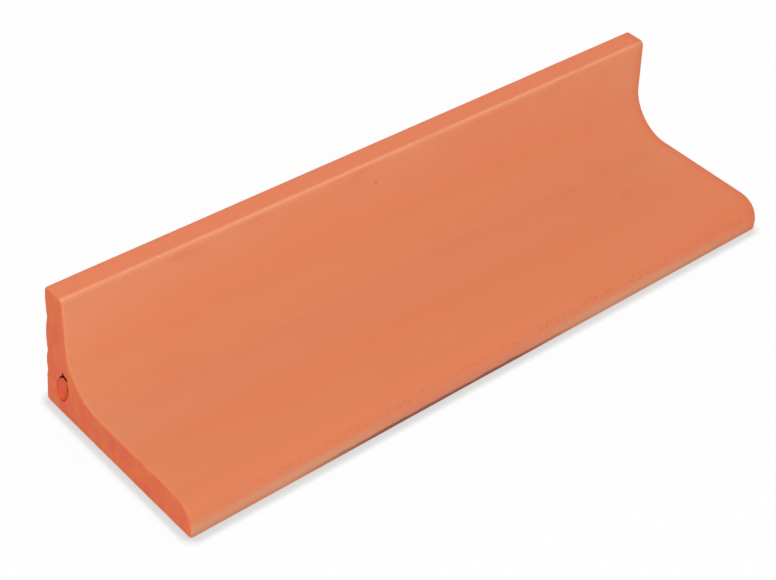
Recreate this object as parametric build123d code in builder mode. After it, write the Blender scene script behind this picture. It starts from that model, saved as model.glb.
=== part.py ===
from build123d import *
from math import radians, sqrt, tan
import os

# Extruded clay cove tile, one fired piece, laid where a flat tiled roof meets its parapet wall.
# Its section is an L with a cove between base and wall, drawn in the YZ plane and extruded along X.
# Millimetres, +Z up. The origin is at the middle of the bed, the toe faces -Y and the keyed back +Y.

# Overall size
tile_length = 330.0
tile_depth = 96.0
tile_height = 59.0

# Base, from the bed it is laid on to its upper face, rounded off above the land of its toe
base_thickness = 15.0
toe_land_height = 3.8
bed_toe_radius = 1.2
bed_back_radius = 2.0

# Wall, thicker towards its foot, and the cove that joins it to the base
wall_top_thickness = 11.4
wall_draft_angle = 6.2
cove_radius = 22.0
top_front_radius = 2.5
top_back_radius = 1.5

# Keyed back: a flat land at its foot, then crowned ribs that meet in shallow grooves, deeper higher up
key_groove_height_shares = (0.275, 0.455, 0.75)
key_groove_depths = (0.6, 0.8, 1.2)
key_groove_radius = 0.8
key_flank_height = 2.5
top_rib_setback = 0.3

# Core hole, an oval that leans towards the toe, runs the whole length and evens out the thick corner
core_width = 7.8
core_height = 15.8
core_lean_angle = 14.7
core_from_back = 11.5
core_above_bed = 13.8

# Arris of the two cut ends
arris = 0.5

toe_y = -tile_depth / 2
toe_radius = base_thickness - toe_land_height
back_y = tile_depth / 2
wall_top_y = back_y - wall_top_thickness
wall_foot_y = wall_top_y - (tile_height - base_thickness) * tan(radians(wall_draft_angle))

groove_heights = [share * tile_height for share in key_groove_height_shares]
groove_bottoms = [(back_y - depth, height) for depth, height in zip(key_groove_depths, groove_heights)]
land_top = (back_y, groove_heights[0] - key_flank_height)
top_back_corner = (back_y - top_rib_setback, tile_height)
rib_ends = [*groove_bottoms, top_back_corner]


def rib_crown(low_end, high_end):
    # A rib's crown lies nearer to the end that falls back less, so that both sides leave it alike
    low_fall = sqrt(back_y - low_end[0])
    high_fall = sqrt(back_y - high_end[0])
    return back_y, low_end[1] + (high_end[1] - low_end[1]) * low_fall / (low_fall + high_fall)


with BuildPart() as cove_tile:
    with BuildSketch(Plane.YZ) as section:
        with BuildLine():
            # Land, bed, toe, upper face, cove and wall, with every corner but the top back one rounded
            FilletPolyline(
                land_top,
                (back_y, 0),
                (toe_y, 0),
                (toe_y, base_thickness),
                (wall_foot_y, base_thickness),
                (wall_top_y, tile_height),
                top_back_corner,
                radius=[bed_back_radius, bed_toe_radius, toe_radius, cove_radius, top_front_radius],
            )
            # Keyed back, from the land up: the lowest groove's lower flank, then the crowned ribs
            Line(land_top, groove_bottoms[0])
            for low_end, high_end in zip(rib_ends, rib_ends[1:]):
                ThreePointArc(low_end, rib_crown(low_end, high_end), high_end)
        make_face()
        for groove_y, groove_z in groove_bottoms:
            fillet(section.vertices().sort_by_distance((groove_y, groove_z))[0], key_groove_radius)
        fillet(section.vertices().group_by(Axis.Y)[-1].sort_by(Axis.X)[-1], top_back_radius)
        with Locations((back_y - core_from_back, core_above_bed)):
            Ellipse(core_width / 2, core_height / 2, rotation=core_lean_angle, mode=Mode.SUBTRACT)
    extrude(amount=tile_length / 2, both=True)
    for end_face in cove_tile.faces().filter_by(Axis.X):
        chamfer(end_face.outer_wire().edges(), arris)

cove_tile.part.label = "cove_tile"

os.makedirs("parts", exist_ok=True)
export_step(cove_tile.part, "parts/cove_tile.step")
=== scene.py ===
import math
import bmesh
import bpy
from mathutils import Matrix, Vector


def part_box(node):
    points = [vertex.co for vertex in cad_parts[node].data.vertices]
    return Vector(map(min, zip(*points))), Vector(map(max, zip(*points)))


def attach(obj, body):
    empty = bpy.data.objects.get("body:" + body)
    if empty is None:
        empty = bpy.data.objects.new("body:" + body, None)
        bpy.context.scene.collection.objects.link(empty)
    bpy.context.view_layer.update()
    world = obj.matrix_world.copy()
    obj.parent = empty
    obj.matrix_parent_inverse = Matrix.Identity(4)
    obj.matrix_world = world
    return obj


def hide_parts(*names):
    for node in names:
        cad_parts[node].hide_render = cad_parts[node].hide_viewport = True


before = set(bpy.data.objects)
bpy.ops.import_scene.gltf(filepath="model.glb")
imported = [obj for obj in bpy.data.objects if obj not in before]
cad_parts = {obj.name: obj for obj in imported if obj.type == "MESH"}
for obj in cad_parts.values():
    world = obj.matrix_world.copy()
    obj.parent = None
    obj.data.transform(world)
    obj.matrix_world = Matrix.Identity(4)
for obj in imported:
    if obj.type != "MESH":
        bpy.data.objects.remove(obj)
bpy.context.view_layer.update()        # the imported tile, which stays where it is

low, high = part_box("cove_tile")
length = high[0] - low[0]
endX = high[0]
toeY = low[1]
backY = high[1]
height = high[2]
print("frame loaded, tile", [round(1000 * (b - a), 1) for a, b in zip(low, high)], "mm")

# Section of the tile and its mesh, in metres and degrees
tile = {
    "baseThickness": 0.0150,
    "toeLand": 0.0038,           # upright face under the toe's rounding
    "bedToeRadius": 0.0012,
    "bedBackRadius": 0.0020,
    "wallTop": 0.0114,           # wall thickness at its top
    "wallDraft": 6.2,
    "coveRadius": 0.0220,
    "topFrontRadius": 0.0025,
    "topBackRadius": 0.0015,
    "grooveShares": (0.275, 0.455, 0.75),   # heights of the back's grooves, of the tile's height
    "grooveDepths": (0.0006, 0.0008, 0.0012),
    "flankHeight": 0.0025,
    "topSetback": 0.0003,
    "ribSteps": (2, 8, 12, 9),   # cuts on the lowest flank and on each rib, from the foot up
    "coreWidth": 0.0078,         # oval core hole
    "coreHeight": 0.0158,
    "coreLean": 14.7,            # its top leans this much towards the toe
    "coreFromBack": 0.0115,
    "coreAboveBed": 0.0138,
    "coreSides": 64,
    "coreOverrun": 0.0030,       # the bar that cuts the hole stands this far out of each end
    "arris": 0.0011,             # rounding of the two cut ends
    "segments": {"cove": 22, "toe": 12, "bedToe": 3, "bedBack": 4, "topFront": 6, "topBack": 3, "arris": 3},
    "gridStep": 0.0015,          # mesh size on the flats and the ends
    "mergeReach": 0.0001875,     # points closer than this become one
    "lengthCuts": 14,            # each of the two subdivisions along the tile
    "smoothAngle": 50,           # edges sharper than this stay crisp
}
near = 0.00002                   # how close a place has to be to count as the same
flatAngle = 0.01                 # radians, faces that meet flatter than this become one
facing = {"axis": 0.9, "flatBack": 0.99, "keyedBack": 0.85}   # least part of a normal that looks that way

baseTop = tile["baseThickness"]
wallTopY = backY - tile["wallTop"]
wallFootY = wallTopY - (height - baseTop) * math.tan(math.radians(tile["wallDraft"]))
coreY = backY - tile["coreFromBack"]
coreZ = tile["coreAboveBed"]
coreLean = math.radians(tile["coreLean"])
grooves = [share * height for share in tile["grooveShares"]]
landTop = grooves[0] - tile["flankHeight"]
ribEnds = [*zip(grooves, tile["grooveDepths"]), (height, tile["topSetback"])]


def pick(kind, test):
    # selects what passes the test in edit mode, and nothing else
    bpy.ops.mesh.select_mode(type=kind)
    bpy.ops.mesh.select_all(action="DESELECT")
    mesh = bmesh.from_edit_mesh(bpy.context.object.data)
    for item in {"VERT": mesh.verts, "EDGE": mesh.edges, "FACE": mesh.faces}[kind]:
        if test(item):
            item.select_set(True)
    mesh.select_flush_mode()
    bmesh.update_edit_mesh(bpy.context.object.data)


def runsAlong(edge, share=0.5):
    return abs(edge.verts[0].co.x - edge.verts[1].co.x) > share * length


def bevelPicked(offset, segments):
    bpy.ops.mesh.bevel(offset=offset, offset_type="OFFSET", segments=segments, profile=0.5,
                       affect="EDGES", clamp_overlap=False)


def roundEdge(y, z, radius, turn, segments):
    # rounds the long edge at this place of the section; turn is the angle that the surface turns through
    def atPlace(edge):
        spot = edge.verts[0].co
        return runsAlong(edge) and abs(spot.y - y) < near and abs(spot.z - z) < near
    pick("EDGE", atPlace)
    bevelPicked(radius * math.tan(math.radians(turn / 2)), segments)


def backSetback(z):
    # how far the keyed back lies behind its crowns at this height
    if z <= landTop:
        return 0
    if z <= grooves[0]:
        return tile["grooveDepths"][0] * (z - landTop) / (grooves[0] - landTop)
    for (foot, footDepth), (head, headDepth) in zip(ribEnds, ribEnds[1:]):
        crown = foot + (head - foot) / (1 + math.sqrt(headDepth / footDepth))
        if z <= crown:
            return footDepth * ((crown - z) / (crown - foot)) ** 2
        if z <= head + near:
            return headDepth * ((z - crown) / (head - crown)) ** 2


def startTile():
    # base block, with the wall pulled up from the strip behind the cove
    bpy.ops.object.select_all(action="DESELECT")
    bpy.ops.mesh.primitive_cube_add(size=1, location=(0, (toeY + backY) / 2, baseTop / 2),
                                    scale=(length, backY - toeY, baseTop))
    tileObject = bpy.context.object
    tileObject.name = "coveTile"
    tileObject.data.name = "coveTile"
    bpy.ops.object.transform_apply(location=True, rotation=False, scale=True)
    bpy.ops.object.mode_set(mode="EDIT")
    bpy.ops.mesh.bisect(plane_co=(0, wallFootY, 0), plane_no=(0, 1, 0))
    pick("FACE", lambda face: face.normal.z > facing["axis"] and face.calc_center_median().y > wallFootY)
    bpy.ops.mesh.extrude_region_move(TRANSFORM_OT_translate={"value": (0, 0, height - baseTop)})
    pick("VERT", lambda vert: vert.co.z > height - near and vert.co.y < wallFootY + near)
    bpy.ops.transform.translate(value=(0, wallTopY - wallFootY, 0))
    bpy.ops.mesh.select_all(action="SELECT")
    bpy.ops.mesh.dissolve_limited(angle_limit=flatAngle)   # one face for each flat
    return tileObject


def roundSection():
    lean = 90 - tile["wallDraft"]
    segments = tile["segments"]
    roundEdge(wallFootY, baseTop, tile["coveRadius"], lean, segments["cove"])
    roundEdge(toeY, baseTop, baseTop - tile["toeLand"], 90, segments["toe"])
    roundEdge(toeY, 0, tile["bedToeRadius"], 90, segments["bedToe"])
    roundEdge(backY, 0, tile["bedBackRadius"], 90, segments["bedBack"])
    roundEdge(wallTopY, height, tile["topFrontRadius"], lean, segments["topFront"])


def keyBack():
    # cuts the flat back at the ribs' heights, then pulls each cut in to the ribs' curve
    spans = [landTop, *grooves, height - 2 * tile["topBackRadius"]]
    cuts = [landTop]
    for foot, head, steps in zip(spans, spans[1:], tile["ribSteps"]):
        cuts += [foot + (head - foot) * (step + 1) / steps for step in range(steps)]
    for z in cuts:
        pick("FACE", lambda face: face.normal.y > facing["flatBack"])
        bpy.ops.mesh.bisect(plane_co=(0, 0, z), plane_no=(0, 0, 1))
    for z in [*cuts, height]:
        pick("VERT", lambda vert: abs(vert.co.z - z) < near and vert.co.y > backY - near)
        bpy.ops.transform.translate(value=(0, -backSetback(z), 0))
    roundEdge(backY - tile["topSetback"], height, tile["topBackRadius"], 90, tile["segments"]["topBack"])


def softenEnds():
    pick("FACE", lambda face: abs(face.normal.x) > facing["axis"])
    bpy.ops.mesh.region_to_loop()
    bevelPicked(tile["arris"], tile["segments"]["arris"])


def refineMesh():
    # lines across the section and up it, then along the tile, so that the relief has points to move
    step = tile["gridStep"]
    for number in range(1, round((backY - toeY) / step)):
        bpy.ops.mesh.select_all(action="SELECT")
        bpy.ops.mesh.bisect(plane_co=(0, toeY + number * step, 0), plane_no=(0, 1, 0))
    for number in range(1, round(height / step)):
        pick("FACE", lambda face: face.normal.y < facing["keyedBack"])
        bpy.ops.mesh.bisect(plane_co=(0, 0, number * step), plane_no=(0, 0, 1))
    bpy.ops.mesh.select_all(action="SELECT")
    bpy.ops.mesh.remove_doubles(threshold=tile["mergeReach"])
    for share in (0.5, 0.5 / (tile["lengthCuts"] + 1)):   # the whole length first, then each part of it
        pick("EDGE", lambda edge: runsAlong(edge, share))
        bpy.ops.mesh.subdivide(number_cuts=tile["lengthCuts"])
    bpy.ops.mesh.select_all(action="SELECT")
    bpy.ops.mesh.normals_make_consistent(inside=False)
    bpy.ops.object.mode_set(mode="OBJECT")


def relief(piece, name, cloudSize, depth, group="", detail=2):
    # soft unevenness of the clay, about half the depth out and half in
    cloud = bpy.data.textures.new(name, "CLOUDS")
    cloud.noise_scale = cloudSize
    cloud.noise_depth = detail
    swell = piece.modifiers.new(name, "DISPLACE")
    swell.texture = cloud
    swell.texture_coords = "LOCAL"
    swell.strength = depth
    swell.vertex_group = group
    bpy.context.view_layer.objects.active = piece
    bpy.ops.object.modifier_apply(modifier=name)
    bpy.data.textures.remove(cloud)


def keepGroup(piece, name, test):
    # remembers the points that pass the test
    bpy.context.view_layer.objects.active = piece
    piece.vertex_groups.new(name=name)
    bpy.ops.object.mode_set(mode="EDIT")
    pick("VERT", test)
    bpy.ops.object.vertex_group_assign()
    bpy.ops.object.mode_set(mode="OBJECT")


# Unevenness of the shape, in metres
unevenness = {
    "bodySize": 0.070,           # long slow waves of the whole piece
    "bodyDepth": 0.00024,
    "endSize": 0.008,            # drag of the cutting wire
    "endDepth": 0.00022,
    "coreSize": 0.003,           # torn clay round the core's mouths
    "coreDepth": 0.0009,
    "tornOut": 0.001,            # the bar's first ring lies this far outside each end
    "tornIn": 0.003,             # the clay is torn down to this depth
    # share of the core hole's width that the smear leaves open, at each depth in the left mouth
    "smear": {0.0008: 0.96, 0.0016: 0.68, 0.003: 0.45, 0.005: 0.40},
    "smearEnd": 0.008,           # the hole has its full width again from here
}


def cutCore(tileObject):
    # a leaning oval bar through the thick corner, rough near both mouths, cut out of the tile
    halfWidth = tile["coreWidth"] / 2
    smear = unevenness["smear"]
    bpy.ops.object.select_all(action="DESELECT")
    bpy.ops.mesh.primitive_cylinder_add(vertices=tile["coreSides"], radius=halfWidth,
                                        depth=length + 2 * tile["coreOverrun"],
                                        location=(0, 0, 0), rotation=(0, math.pi / 2, 0))
    coreBar = bpy.context.object
    bpy.ops.object.transform_apply(location=True, rotation=True, scale=True)
    coreBar.scale = (1, 1, tile["coreHeight"] / tile["coreWidth"])
    bpy.ops.object.transform_apply(location=True, rotation=True, scale=True)
    bpy.ops.object.mode_set(mode="EDIT")
    for inset in (-unevenness["tornOut"], 0, *smear, unevenness["smearEnd"]):
        for side in (1, -1):
            bpy.ops.mesh.select_all(action="SELECT")
            bpy.ops.mesh.bisect(plane_co=(side * (endX - inset), 0, 0), plane_no=(1, 0, 0))
    for inset, share in smear.items():
        # clay that the wire dragged into the left mouth: the hole is narrower there, from its back side
        pick("VERT", lambda vert: abs(vert.co.x + endX - inset) < near)
        bpy.ops.transform.resize(value=(1, share, 1))
        bpy.ops.transform.translate(value=(0, (share - 1) * halfWidth, 0))
    bpy.ops.mesh.select_all(action="SELECT")
    bpy.ops.mesh.normals_make_consistent(inside=False)
    bpy.ops.object.mode_set(mode="OBJECT")
    coreBar.rotation_euler = (coreLean, 0, 0)
    coreBar.location = (0, coreY, coreZ)
    bpy.ops.object.transform_apply(location=True, rotation=True, scale=True)
    keepGroup(coreBar, "mouths", lambda vert: abs(vert.co.x) > endX - unevenness["tornIn"])
    relief(coreBar, "coreTear", unevenness["coreSize"], unevenness["coreDepth"], "mouths")
    bpy.context.view_layer.objects.active = tileObject
    cut = tileObject.modifiers.new("core", "BOOLEAN")
    cut.operation = "DIFFERENCE"
    cut.solver = "EXACT"
    cut.object = coreBar
    bpy.ops.object.modifier_apply(modifier="core")
    bpy.data.objects.remove(coreBar, do_unlink=True)


tileObject = startTile()
print("block and wall made")
roundSection()
print("section rounded")
keyBack()
print("back keyed")
softenEnds()
refineMesh()
print("mesh refined,", len(tileObject.data.polygons), "faces")
cutCore(tileObject)
print("core cut")
keepGroup(tileObject, "ends", lambda vert: abs(vert.co.x) > endX - tile["arris"] / 2)
relief(tileObject, "bodyWaves", unevenness["bodySize"], unevenness["bodyDepth"])
relief(tileObject, "wireDrag", unevenness["endSize"], unevenness["endDepth"], "ends")
bpy.ops.object.select_all(action="DESELECT")
tileObject.select_set(True)
bpy.ops.object.shade_smooth_by_angle(angle=math.radians(tile["smoothAngle"]))
print("relief made,", sum(len(face.vertices) - 2 for face in tileObject.data.polygons), "triangles")

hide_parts("cove_tile")
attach(tileObject, "root")

# Look of the fired clay: linear colours, and lengths in metres
clayLook = {
    "colours": {
        "skin": (0.757, 0.231, 0.102, 1),
        "bloomAndPaintedLight": (0.774, 0.274, 0.134, 1),        # paler: painted light on the wall and where the base meets the cove, against the shade there; also small random pale patches
        "hollow": (0.716, 0.241, 0.110, 1),       # in the bottom of the cove, less red and a little paler: painted to cancel its red bounce light and shade
        "blush": (0.735, 0.204, 0.090, 1),        # redder clouds, streaks and right end of the toe
        "toe": (0.722, 0.210, 0.094, 1),          # darker: painted shade on the toe's rounding, against the floor's bounce light; also one darker mark
        "pink": (0.760, 0.214, 0.104, 1),         # under the upper edge and towards the right end
        "topOrange": (0.790, 0.229, 0.095, 1),    # upper edge, speckled from orange to pink
        "topPink": (0.808, 0.207, 0.104, 1),
        # painted highlight and wear: pale line along the wall's top front arris
        "arrisHighlightAndWear": (0.86, 0.365, 0.200, 1),
        "toeBand": (0.680, 0.287, 0.156, 1),      # paler, greyer band low on the toe
        "dullBand": (0.668, 0.224, 0.121, 1),     # the same, in the middle of the tile's length
        "footShade": (0.30, 0.078, 0.048, 1),      # painted contact shade: a dark line along the foot of the toe
        "dragMark": (0.56, 0.130, 0.056, 1),
        "cut": (0.735, 0.154, 0.064, 1),          # wire-cut ends
        "cutOrange": (0.765, 0.174, 0.060, 1),
        "cutRed": (0.735, 0.128, 0.060, 1),
        "core": (0.720, 0.118, 0.052, 1),         # raw clay at the core's mouths and further in
        # painted light: brighter clay further into the hole, against the shade there
        "coreLit": (0.860, 0.150, 0.064, 1),
        "coreShade": (0.075, 0.004, 0.003, 1),     # painted shade in the mouths: a dark ragged line like a crack, and dark dots like pits
        "pore": (0.36, 0.070, 0.038, 1),
    },
    # noise: size, detail, stretch along X, Y and Z, and shift
    "noise": {
        "wide": (0.055, 2.0, (1, 1, 1), 0.0),
        "small": (0.006, 4.0, (1, 1, 1), 0.0),
        "streaks": (0.0022, 3.0, (18, 1, 1), 0.0),
        "blush": (0.030, 3.0, (1, 1, 1), 3.7),
        "rightPart": (0.014, 3.0, (1, 1, 1), 1.9),
        "underTop": (0.009, 3.0, (2.5, 1, 1), 8.1),
        "topSpeckle": (0.0022, 4.0, (1.5, 1, 1), 1.3),
        "arrisSheenAndWear": (0.004, 3.0, (3, 1, 1), 5.1),
        "bandRun": (0.010, 3.0, (5, 1, 1), 2.2),
        "footRun": (0.012, 3.0, (5, 1, 1), 7.7),
        "footEdge": (0.0035, 2.0, (2, 1, 1), 5.5),
        "scuffs": (0.0011, 2.0, (1.6, 1, 1), 3.3),
        "cutEdge": (0.007, 2.0, (1, 1, 1), 4.4),
        "cutOrange": (0.0055, 3.0, (1, 1, 1.6), 8.8),
        "cutRed": (0.0060, 3.0, (1, 1, 1.6), 9.9),
        "crackEdge": (0.0020, 2.0, (1, 1, 1), 6.6),
        "sand": (0.0006, 4.0, (1, 1, 1), 0.0),
        "wire": (0.0012, 4.0, (1, 1, 6), 0.0),
    },
    # values of that noise at which its patches begin and are full
    "patches": {
        "wide": (-0.6, 0.6),
        "small": (0.45, 0.75),
        "streaks": (0.5, 0.8),
        "blush": (0.50, 0.80),
        "rightPart": (0.30, 0.80),
        "underTop": (0.50, 0.70),
        "topSpeckle": (0.38, 0.62),
        "arrisSheenAndWear": (0.10, 0.55),
        "bandRun": (-0.05, 0.50),
        "footRun": (0.10, 0.45),
        "scuffs": (0.55, 0.68),
        "cutOrange": (0.44, 0.64),
        "cutRed": (0.48, 0.66),
    },
    # how far an edge wanders with its noise
    "wander": {"footEdge": 0.0014, "cutEdge": 0.0004, "crackEdge": 0.0016},
    # specks: spacing, radius as a part of it, share of the cells that have one, and shift
    "specks": {
        "scuffs": (0.0013, 0.42, 0.50, 0.0),
        "skinPores": (0.011, 0.040, 0.14, 6.1),
        "endPores": (0.0034, 0.10, 0.45, 2.9),
    },
    # lines along or round the tile that a tone is measured from
    "line": {
        "coveFoot": 0.009,               # y
        "hollow": (0.0276, 0.0214),      # y and z
        "arris": (0.0010, 0.0007),       # behind the wall's front and below its top
        "dullPart": -0.020,              # x
        "footPart": -0.034,              # x
        "band": 0.0038,                  # z
        "drag": 0.0097,                  # z
    },
    # where a tone begins and where it is full
    "reach": {
        "wall": (0.022, 0.036),          # heights
        "coveFoot": (0.026, 0.002),      # from its line
        "hollow": (0.017, 0.004),
        "arris": (0.0011, 0.0002),
        "dullPart": (0.082, 0.018),
        "footPart": (0.088, 0.026),
        "band": (0.0046, 0.0008),
        "drag": (0.0024, 0.0003),
        "rightPart": (0.02, 0.10),       # along the tile
        "farToeAlong": (0.085, 0.140),
        "bandAlong": (0.190, 0.100),
        "dragAlong": (-0.35, 0.10),
        "underTop": (0.009, 0.003),      # below the top
        "topFace": (0.0011, 0.0005),
        "toeFront": (0.006, 0.003),      # behind the toe
        "toeRound": (0.015, 0.006),
        "farToe": (0.010, 0.005),
        "footLine": (0.0034, 0.0021),    # heights
        "footShown": (-0.35, 1.0),       # of the foot's painted shade line, so that a little shows everywhere
        "rightEnd": (0.008, 0.0),        # from the right end
        "cutFace": (0.0006, 0.0001),     # from either end
        "coreLit": (0.0010, 0.0036),
        "mouth": (0.0001, 0.0004),
    },
    "strength": {
        "coveFoot": 0.75,
        "hollow": 0.85,
        "blush": 0.16,
        "small": 0.12,
        "streaks": 0.18,
        "rightPart": 0.30,
        "underTop": 0.6,
        "topFace": 0.9,
        "arrisSheenAndWear": 0.8,
        "toe": 0.85,
        "drag": 0.55,
        "cutRed": 0.8,
        "rightEnd": 0.45,
        "skinPores": 0.6,
        "endPores": 0.6,
    },
    # single marks on the skin: place, radius, colour and strength
    "marks": [
        ((0.1284, 0.0299, 0.0241), 0.0065, "pink", 0.5),
        ((0.1258, -0.0373, 0.0149), 0.0070, "pink", 0.6),
        ((0.1189, -0.0060, 0.0150), 0.0060, "toe", 0.4),
        ((-0.0049, 0.0354, 0.0478), 0.0006, "pore", 0.9),
    ],
    # painted shade in the core's mouths, drawn as a dark ragged crack, which slants as it goes in
    "crack": {
        "core": (1.20, 1.10),            # where the core's clay begins, of the oval's half sizes
        "slantAcross": 1.05,             # for each metre that it goes in
        "slantDown": 2.05,
        "rim": (0.76, 0.82),             # of the oval's half sizes
        "top": (0.0047, 0.0055),         # height in the oval, with a slope across it
        "topSlope": 0.9,
        "backEnd": (0.0028, 0.0022),     # across the oval
        "tip": (-0.0004, 0.0079),        # y and z from the core's middle, on the left end
        "tipRadius": 0.0010,
    },
    # dark dots of painted shade in the mouths, like pits: place across and up the oval and radius, of its
    # half sizes, and strength
    "pits": [
        ((0.67, 0.60, 0), 0.22, 1.0),
        ((-0.81, 0.35, 0), 0.16, 0.6),
        ((-0.58, 0.56, 0), 0.13, 0.25),
        ((-0.83, -0.43, 0), 0.15, 0.4),
    ],
    # fine relief: the bump's strength and depth, and the share of each kind of grain in it
    "grain": {"bump": 0.22, "depth": 0.0003, "sand": 0.8, "streaks": 0.6, "wire": 1.1, "pits": 1.2},
    "roughness": (0.78, 0.94),
    "shine": (0.3, 0.0),                 # on the clay, and in the painted shade of the crack
}
noiseMiddle = 0.5
speckFade = 3                            # a speck is full within its radius divided by this
markFade = 4                             # and a single mark or pit within its radius divided by this
chosenFade = 0.8                         # specks fade in from their share of the cells to this part of it


def addNode(tree, kind, inputs=None, **settings):
    # a shader node with its settings, and each input either linked or set
    made = tree.nodes.new("ShaderNode" + kind)
    for name, value in settings.items():
        setattr(made, name, value)
    for name, value in (inputs or {}).items():
        if isinstance(value, bpy.types.NodeSocket):
            tree.links.new(value, made.inputs[name])
        else:
            made.inputs[name].default_value = value
    return made


def clayMaterial():
    colours = clayLook["colours"]
    line = clayLook["line"]
    reach = clayLook["reach"]
    strength = clayLook["strength"]
    crackShape = clayLook["crack"]
    grainShare = clayLook["grain"]
    clay = bpy.data.materials.new("firedClay")
    clay.use_nodes = True
    tree = clay.node_tree
    shader = tree.nodes["Principled BSDF"]
    spot = addNode(tree, "TexCoord").outputs["Object"]
    x, y, z = addNode(tree, "SeparateXYZ", {"Vector": spot}).outputs
    section = addNode(tree, "CombineXYZ", {"Y": y, "Z": z}).outputs[0]
    noiseMade = {}

    def calc(operation, first, second=0.0):
        return addNode(tree, "Math", {0: first, 1: second}, operation=operation).outputs[0]

    def times(first, *others):
        for other in others:
            first = calc("MULTIPLY", first, other)
        return first

    def fade(value, start, end):
        # 0 at start, 1 at end, eased between
        return addNode(tree, "MapRange", {"Value": value, "From Min": start, "From Max": end},
                       interpolation_type="SMOOTHSTEP").outputs[0]

    def scaled(sizes, shift):
        # the place on the tile, counted in these sizes
        return addNode(tree, "Mapping", {"Vector": spot, "Location": (shift, shift, shift),
                                         "Scale": [1 / size for size in sizes]}).outputs[0]

    def noise(name):
        # longer along a stretched axis, and made once
        if name not in noiseMade:
            size, detail, stretch, shift = clayLook["noise"][name]
            place = scaled([size * part for part in stretch], shift)
            noiseMade[name] = addNode(tree, "TexNoise", {"Vector": place, "Scale": 1.0, "Detail": detail})
        return noiseMade[name].outputs[0]

    def patches(name):
        return fade(noise(name), *clayLook["patches"][name])

    def wander(name):
        return times(calc("SUBTRACT", noise(name), noiseMiddle), clayLook["wander"][name])

    def specks(name):
        # round specks in some of the cells
        spacing, radius, share, shift = clayLook["specks"][name]
        cells = addNode(tree, "TexVoronoi", {"Vector": scaled([spacing] * 3, shift), "Scale": 1.0})
        chosen = addNode(tree, "SeparateColor", {"Color": cells.outputs["Color"]}).outputs[0]
        return times(fade(cells.outputs["Distance"], radius, radius / speckFade),
                     fade(chosen, share, share * chosenFade))

    def away(value, place):
        # distance of a coordinate from this place
        return calc("ABSOLUTE", calc("SUBTRACT", value, place))

    def distance(point, place):
        return addNode(tree, "VectorMath", {0: point, 1: place}, operation="DISTANCE").outputs["Value"]

    def fromLine(lineY, lineZ):
        # distance from a line along the tile, at this place of the section
        return distance(section, (0, lineY, lineZ))

    def closeTo(place, radius, point=spot):
        # 1 at the place, fading out towards the radius
        return fade(distance(point, place), radius, radius / markFade)

    def belowTop(name):
        return [height - part for part in reach[name]]

    def behindToe(name):
        return [toeY + part for part in reach[name]]

    def inOval(acrossPart, upPart):
        # place in the core hole, as parts of its half sizes
        return addNode(tree, "CombineXYZ", {"X": calc("DIVIDE", acrossPart, tile["coreWidth"] / 2),
                                            "Y": calc("DIVIDE", upPart, tile["coreHeight"] / 2)}).outputs[0]

    def fromMiddle(place):
        return addNode(tree, "VectorMath", {0: place}, operation="LENGTH").outputs["Value"]

    def paint(under, colour, mask):
        over = colours[colour] if isinstance(colour, str) else colour
        return addNode(tree, "Mix", {0: mask, 6: under, 7: over}, data_type="RGBA").outputs[2]

    # skin: paler on the wall and at the foot of the cove, and less red in the cove's bottom, as painted
    # light against the shade and red bounce light there, with wide soft clouds and fine streaks
    # painted light: the wall and the foot of the cove are painted paler to cancel the shade that falls
    # there
    atFoot = times(fade(away(y, line["coveFoot"]), *reach["coveFoot"]), strength["coveFoot"])
    paintedLightMask = times(calc("MAXIMUM", fade(z, *reach["wall"]), atFoot), patches("wide"))
    # painted light and shade: the bottom of the cove is painted less red and a little paler, to cancel its
    # red bounce light and shade
    inCove = times(fade(fromLine(*line["hollow"]), *reach["hollow"]), strength["hollow"])
    colour = paint(colours["skin"], "bloomAndPaintedLight", paintedLightMask)
    colour = paint(colour, "hollow", inCove)
    colour = paint(colour, "blush", times(patches("blush"), strength["blush"]))
    colour = paint(colour, "bloomAndPaintedLight", times(patches("small"), strength["small"]))
    colour = paint(colour, "blush", times(patches("streaks"), strength["streaks"]))
    rightPart = times(fade(x, *reach["rightPart"]), patches("rightPart"))
    colour = paint(colour, "pink", times(rightPart, strength["rightPart"]))

    # upper edge of the wall: pinkish patches below it, a speckled top, and a pale front arris, painted
    # highlight and wear
    underTop = times(fade(z, *belowTop("underTop")), patches("underTop"))
    colour = paint(colour, "pink", times(underTop, strength["underTop"]))
    topTone = paint(colours["topOrange"], "topPink", patches("topSpeckle"))
    colour = paint(colour, topTone, times(fade(z, *belowTop("topFace")), strength["topFace"]))
    # painted highlight and wear: a pale line along the top front arris
    arrisIn, arrisDown = line["arris"]
    fromArris = fromLine(wallTopY + arrisIn, height - arrisDown)
    arrisSheenAndWear = times(fade(fromArris, *reach["arris"]), patches("arrisSheenAndWear"))
    colour = paint(colour, "arrisHighlightAndWear", times(arrisSheenAndWear, strength["arrisSheenAndWear"]))

    # toe: darker and redder on its rounding as painted shade, a paler band, dull in its middle with a
    # painted shade line along its foot, and grainy drag marks
    atToe = fade(y, *behindToe("toeFront"))
    # painted shade: the toe's rounding is painted darker to cancel the bounce light from the floor
    colour = paint(colour, "toe", times(fade(y, *behindToe("toeRound")), strength["toe"]))
    farToe = times(fade(x, *reach["farToeAlong"]), fade(y, *behindToe("farToe")))
    colour = paint(colour, "blush", farToe)
    dullPart = fade(away(x, line["dullPart"]), *reach["dullPart"])
    band = times(fade(away(z, line["band"]), *reach["band"]), atToe)
    bandRun = times(patches("bandRun"), fade(x, *reach["bandAlong"]))
    bandTone = paint(colours["toeBand"], "dullBand", dullPart)
    colour = paint(colour, bandTone, times(band, bandRun))
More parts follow.
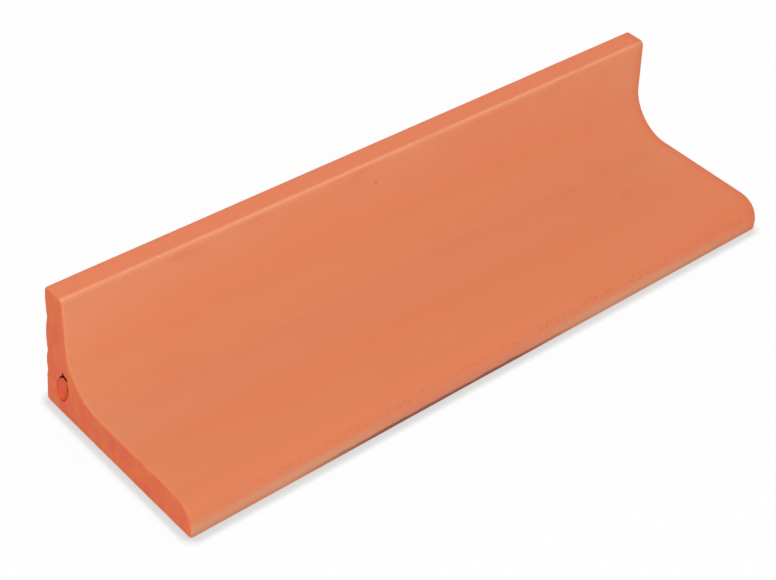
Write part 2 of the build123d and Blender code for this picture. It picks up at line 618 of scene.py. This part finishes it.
    # painted shade: a dark line along the foot of the toe, where the contact shade falls
    footPart = fade(away(x, line["footPart"]), *reach["footPart"])
    footRun = times(patches("footRun"), fade(footPart, *reach["footShown"]))
    foot = times(fade(calc("ADD", z, wander("footEdge")), *reach["footLine"]), footRun)
    colour = paint(colour, "footShade", times(foot, atToe))
    dragLine = times(fade(away(z, line["drag"]), *reach["drag"]), atToe)
    scuffs = calc("MAXIMUM", specks("scuffs"), patches("scuffs"))
    drag = times(dragLine, scuffs, fade(x, *reach["dragAlong"]))
    colour = paint(colour, "dragMark", times(drag, strength["drag"]))

    for place, radius, tone, amount in clayLook["marks"]:
        colour = paint(colour, tone, times(closeTo(place, radius), amount))

    # wire-cut ends: redder and streaky, fading into the skin just behind the arris
    fromEnd = calc("SUBTRACT", endX, calc("ABSOLUTE", x))
    cutFace = fade(calc("ADD", fromEnd, wander("cutEdge")), *reach["cutFace"])
    cutTone = paint(colours["cut"], "cutOrange", patches("cutOrange"))
    cutTone = paint(cutTone, "cutRed", times(patches("cutRed"), strength["cutRed"]))
    rightEnd = fade(x, *[endX - part for part in reach["rightEnd"]])
    colour = paint(colour, "cut", times(rightEnd, strength["rightEnd"]))
    colour = paint(colour, cutTone, cutFace)

    # core hole: raw clay inside, painted brighter further in as painted light, with painted shade drawn as
    # a dark ragged crack at the top of the mouth, and dark dots like pits
    offY = calc("SUBTRACT", y, coreY)
    offZ = calc("SUBTRACT", z, coreZ)
    across = calc("ADD", times(offY, math.cos(coreLean)), times(offZ, math.sin(coreLean)))
    upCore = calc("SUBTRACT", times(offZ, math.cos(coreLean)), times(offY, math.sin(coreLean)))
    inCore = fade(fromMiddle(inOval(across, upCore)), *crackShape["core"])
    crackAcross = calc("SUBTRACT", across, times(fromEnd, crackShape["slantAcross"]))
    crackUp = calc("ADD", upCore, times(fromEnd, crackShape["slantDown"]))
    crackUp = calc("ADD", crackUp, wander("crackEdge"))
    atRim = inOval(crackAcross, crackUp)
    slopedUp = calc("ADD", crackUp, times(crackAcross, crackShape["topSlope"]))
    overTop = times(fade(slopedUp, *crackShape["top"]), fade(crackAcross, *crackShape["backEnd"]))
    crack = times(fade(fromMiddle(atRim), *crackShape["rim"]), overTop)
    for place, radius, amount in clayLook["pits"]:
        crack = calc("MAXIMUM", crack, times(closeTo(place, radius, atRim), amount))
    # painted light: the clay further in is painted brighter, against the shade inside the hole
    coreTone = paint(colours["core"], "coreLit", fade(fromEnd, *reach["coreLit"]))
    # painted shade: the dark crack and dots stand for the shade deep under the top of the mouth
    coreTone = paint(coreTone, "coreShade", crack)
    inMouth = times(inCore, fade(fromEnd, *reach["mouth"]))
    colour = paint(colour, coreTone, inMouth)
    tipY, tipZ = crackShape["tip"]
    # painted shade: the dark line's tip, on the left end face above the mouth
    crackTip = closeTo((-endX, coreY + tipY, coreZ + tipZ), crackShape["tipRadius"])
    colour = paint(colour, "coreShade", crackTip)

    # pores: a few on the skin, more on the cut ends
    skinPores = times(specks("skinPores"), strength["skinPores"])
    endPores = times(specks("endPores"), cutFace, strength["endPores"])
    pores = calc("MAXIMUM", skinPores, endPores)
    colour = paint(colour, "pore", pores)
    tree.links.new(colour, shader.inputs["Base Color"])

    # fine sandy grain, extrusion streaks, and drag lines of the wire on the ends
    grain = times(noise("sand"), grainShare["sand"])
    grain = calc("ADD", grain, times(noise("streaks"), grainShare["streaks"]))
    grain = calc("ADD", grain, times(noise("wire"), cutFace, grainShare["wire"]))
    grain = calc("SUBTRACT", grain, times(calc("ADD", pores, drag), grainShare["pits"]))
    bump = addNode(tree, "Bump", {"Strength": grainShare["bump"], "Distance": grainShare["depth"],
                                  "Height": grain})
    tree.links.new(bump.outputs[0], shader.inputs["Normal"])
    least, most = clayLook["roughness"]
    dull = addNode(tree, "MapRange", {"Value": noise("small"), "To Min": least, "To Max": most})
    tree.links.new(dull.outputs[0], shader.inputs["Roughness"])

    # the painted shade of the crack has no shine
    cracked = calc("MAXIMUM", times(crack, inMouth), crackTip)
    clayShine, crackShine = clayLook["shine"]
    shine = addNode(tree, "MapRange", {"Value": cracked, "To Min": clayShine, "To Max": crackShine})
    tree.links.new(shine.outputs[0], shader.inputs["Specular IOR Level"])
    return clay


tileObject.data.materials.clear()
tileObject.data.materials.append(clayMaterial())
print("clay painted")

# Stage: white floor with a painted grey contact shadow, soft light from beside the camera, and a weak light
# from behind
stage = {
    "white": (1, 1, 1, 1),
    "floorSize": 12.0,
    "floorDrop": 0.0003,         # the floor lies this much under the bed
    "floorSeen": (0.97, 0.97, 0.97, 1),
    "floorBounce": (0.78, 0.78, 0.78, 1),
    "floorGlow": 0.92,           # share of the seen floor that is white by itself
    "contactColour": (0.684, 0.680, 0.675, 1),
    "contactReach": 0.0045,      # width of the painted grey contact shadow where the tile meets the floor
    "contactOpen": (0.55, 0.97),  # openness at which that line is full and gone
    "contactCurve": 2.0,
    "contactSamples": 4,
    "ambient": 0.73,
    "lamps": {
        "keyLight": {"place": (-1.15, -1.30, 1.20), "size": 1.2, "power": 16.0},
        "backLight": {"place": (0.6, 1.4, 1.1), "size": 1.0, "power": 3.0},
    },
}


def straightRays(tree):
    # 1 for rays that show the background itself: seen, mirrored or through glass
    path = addNode(tree, "LightPath").outputs
    either = addNode(tree, "Math", {0: path["Is Camera Ray"], 1: path["Is Glossy Ray"]},
                     operation="MAXIMUM")
    return addNode(tree, "Math", {0: either.outputs[0], 1: path["Is Transmission Ray"]},
                   operation="MAXIMUM").outputs[0]


def makeFloor():
    bpy.ops.object.select_all(action="DESELECT")
    bpy.ops.mesh.primitive_plane_add(size=stage["floorSize"], location=(0, 0, -stage["floorDrop"]))
    floor = bpy.context.object
    floor.name = "floor"
    white = bpy.data.materials.new("floorWhite")
    white.use_nodes = True
    tree = white.node_tree
    tree.nodes.clear()
    seen = straightRays(tree)
    # painted contact shadow: the floor's own glow turns grey where the tile is close
    closed, opened = stage["contactOpen"]
    contact = addNode(tree, "AmbientOcclusion", {"Distance": stage["contactReach"]},
                      samples=stage["contactSamples"])
    openness = addNode(tree, "MapRange", {"Value": contact.outputs["AO"], "From Min": closed,
                                          "From Max": opened})
    clear = addNode(tree, "Math", {0: openness.outputs[0], 1: stage["contactCurve"]}, operation="POWER")
    tone = addNode(tree, "Mix", {0: clear.outputs[0], 6: stage["contactColour"], 7: stage["white"]},
                   data_type="RGBA")
    glow = addNode(tree, "Emission", {"Color": tone.outputs[2], "Strength": 1.0})
    floorTone = addNode(tree, "Mix", {0: seen, 6: stage["floorBounce"], 7: stage["floorSeen"]},
                        data_type="RGBA")
    matt = addNode(tree, "BsdfDiffuse", {"Color": floorTone.outputs[2]})
    share = addNode(tree, "Math", {0: seen, 1: stage["floorGlow"]}, operation="MULTIPLY")
    both = addNode(tree, "MixShader", {0: share.outputs[0], 1: matt.outputs[0], 2: glow.outputs[0]})
    addNode(tree, "OutputMaterial", {"Surface": both.outputs[0]})
    floor.data.materials.append(white)


def makeLights():
    world = bpy.data.worlds.new("studio")
    bpy.context.scene.world = world
    world.use_nodes = True
    tree = world.node_tree
    strength = addNode(tree, "MapRange", {"Value": straightRays(tree), "To Min": stage["ambient"],
                                          "To Max": 1.0})
    background = tree.nodes["Background"]
    background.inputs["Color"].default_value = stage["white"]
    tree.links.new(strength.outputs[0], background.inputs["Strength"])
    for name, lamp in stage["lamps"].items():
        softbox = bpy.data.lights.new(name, "AREA")
        softbox.size = lamp["size"]
        softbox.energy = lamp["power"]
        lampObject = bpy.data.objects.new(name, softbox)
        lampObject.location = lamp["place"]
        lampObject.rotation_euler = (-Vector(lamp["place"])).to_track_quat("-Z", "Y").to_euler()
        bpy.context.scene.collection.objects.link(lampObject)


# Camera, fitted to the photograph's edges
shot = {
    "place": (-0.46976, -0.43155, 0.53529),
    "azimuth": 45.79,            # degrees from +Y towards +X
    "elevation": 39.65,
    "roll": 6.81,
    "focalPixels": 1905,
    "imageWidth": 776,
    "sensorWidth": 36.0,         # millimetres
    "nearest": 0.01,
    "farthest": 50,
}


def makeCamera():
    camera = bpy.data.cameras.new("camera")
    camera.sensor_width = shot["sensorWidth"]
    camera.lens = camera.sensor_width * shot["focalPixels"] / shot["imageWidth"]
    camera.clip_start = shot["nearest"]
    camera.clip_end = shot["farthest"]
    cameraObject = bpy.data.objects.new("camera", camera)
    cameraObject.location = shot["place"]
    cameraObject.rotation_euler = (math.radians(90 - shot["elevation"]), 0, math.radians(-shot["azimuth"]))
    cameraObject.rotation_euler.rotate_axis("Z", math.radians(shot["roll"]))
    bpy.context.scene.collection.objects.link(cameraObject)
    bpy.context.scene.camera = cameraObject


makeFloor()
makeLights()
makeCamera()
bpy.context.scene.view_settings.view_transform = "Standard"
print("stage, lights and camera made")
